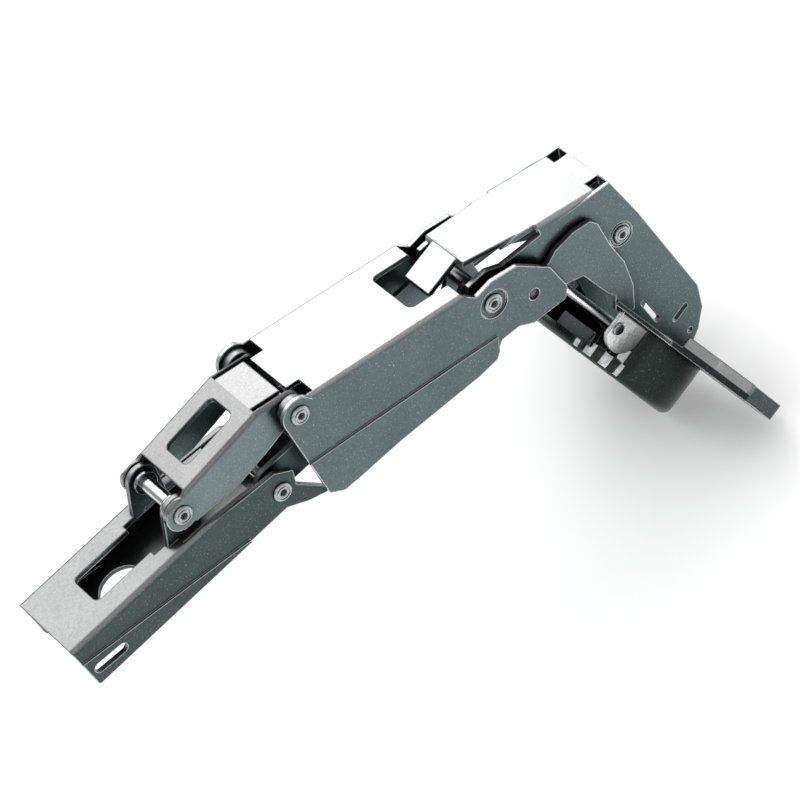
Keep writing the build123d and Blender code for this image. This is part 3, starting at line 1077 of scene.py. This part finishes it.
@dataclass(frozen=True)
class Lamp:
    """Soft square lamp that faces the middle of the hinge.

    Its distance and its side are in metres, and its power is in watts.
    """

    name: str
    toward: tuple[float, float, float]
    away: float
    size: float
    power: float

    def build(self) -> None:
        """Place the lamp and aim it."""
        light = bpy.data.lights.new(self.name, "AREA")
        light.shape = "SQUARE"
        light.size = self.size
        light.energy = self.power
        holder = bpy.data.objects.new(self.name, light)
        bpy.context.scene.collection.objects.link(holder)
        low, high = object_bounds()
        aim = (Vector(low) + Vector(high)) / 2
        direction = Vector(self.toward).normalized()
        holder.location = aim + direction * self.away
        holder.rotation_euler = direction.to_track_quat("Z", "Y").to_euler()


@dataclass(frozen=True)
class Studio:
    """Camera, lamps, white surround and the pale floor."""

    lamps: tuple[Lamp, ...] = (
        Lamp("key_box", (0.5, 0.667, 0.55), 0.55, 0.26, 0.2),
        Lamp("sky_box", (0.05, 0.667, 0.72), 0.62, 0.7, 1.65),
        Lamp("fill_box", (-0.7, -0.8, 0.9), 0.8, 0.6, 0.4),
    )
    surround: float = 1.08
    mirrored: float = 0.3

    def camera(self) -> None:
        """Place the camera by its own axes."""
        lens = bpy.data.cameras.new("camera")
        lens.lens = CAMERA_LENS
        lens.sensor_width = CAMERA_SENSOR
        lens.clip_start = CAMERA_NEAREST * MM
        holder = bpy.data.objects.new("camera", lens)
        bpy.context.scene.collection.objects.link(holder)
        axes = (Vector(CAMERA_RIGHT), -Vector(CAMERA_DOWN), -Vector(CAMERA_DEPTH))
        place = Matrix(axes).transposed().to_4x4()
        place.translation = Vector(CAMERA_PLACE) * MM
        holder.matrix_world = place
        bpy.context.scene.camera = holder

    def surround_light(self) -> None:
        """White surround: full white to the camera, dimmer where the plating mirrors it."""
        world = bpy.data.worlds.new("surround")
        bpy.context.scene.world = world
        world.use_nodes = True
        tree = world.node_tree
        sky = tree.nodes["Background"]
        path = tree.nodes.new("ShaderNodeLightPath")
        level = mapped(tree, path.outputs["Is Glossy Ray"], WHOLE_RANGE, (self.surround, self.mirrored))
        sky.inputs["Color"].default_value = WHITE
        link(tree, level, sky.inputs["Strength"])

    def floor(self) -> None:
        """Pale floor under the lowest point of the hinge, with a very fine mottling."""
        low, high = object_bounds()
        level = low[2] / MM - FLOOR_GAP
        middle_x = (low[0] + high[0]) / 2 / MM
        signs = ((-1, -1), (1, -1), (1, 1), (-1, 1))
        corners = np.array([(middle_x + x * FLOOR_HALF, y * FLOOR_HALF, level) for x, y in signs])
        ground = finished_mesh("floor", corners, [(0, 1, 2, 3)])
        look = bpy.data.materials.new("pale_floor")
        look.use_nodes = True
        tree = look.node_tree
        shader = tree.nodes["Principled BSDF"]
        coords = tree.nodes.new("ShaderNodeTexCoord")
        tone = mixed(tree, noise(tree, coords, FLOOR_CELLS, GRAIN_DETAIL), FLOOR_DARK, FLOOR_PALE)
        link(tree, tone, shader.inputs["Base Color"])
        shader.inputs["Roughness"].default_value = FLOOR_ROUGHNESS
        shader.inputs["Specular IOR Level"].default_value = FLOOR_SHINE
        ground.data.materials.append(look)
        ground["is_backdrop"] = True

    def build(self) -> None:
        """Set up everything that isn't the hinge."""
        self.camera()
        self.surround_light()
        for lamp in self.lamps:
            lamp.build()
        self.floor()
        bpy.context.scene.view_settings.view_transform = "Standard"


def main() -> None:
    """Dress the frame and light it."""
    logging.basicConfig(level=logging.INFO)
    looks = {finish.name: finish.material() for finish in FINISHES}
    Platings().build(looks)
    for rivet in RIVETS:
        rivet.build(looks[RIVET.name], looks[RECESS_SHADE.name])
    OpenCup().build(looks[CUP.name], looks[FLUTE_HIGHLIGHT.name])
    for side in (-1, 1):
        BearingEar(side).build(looks[POLISH.name])
    CrownedRoller().build(looks[SPACER.name])
    for shelf in ARM_SHELVES:
        shelf.build(looks[SATIN.name])
    LEVER_WEB.build(looks[DEEP.name])
    Studio().build()


if __name__ == "__main__":
    main()
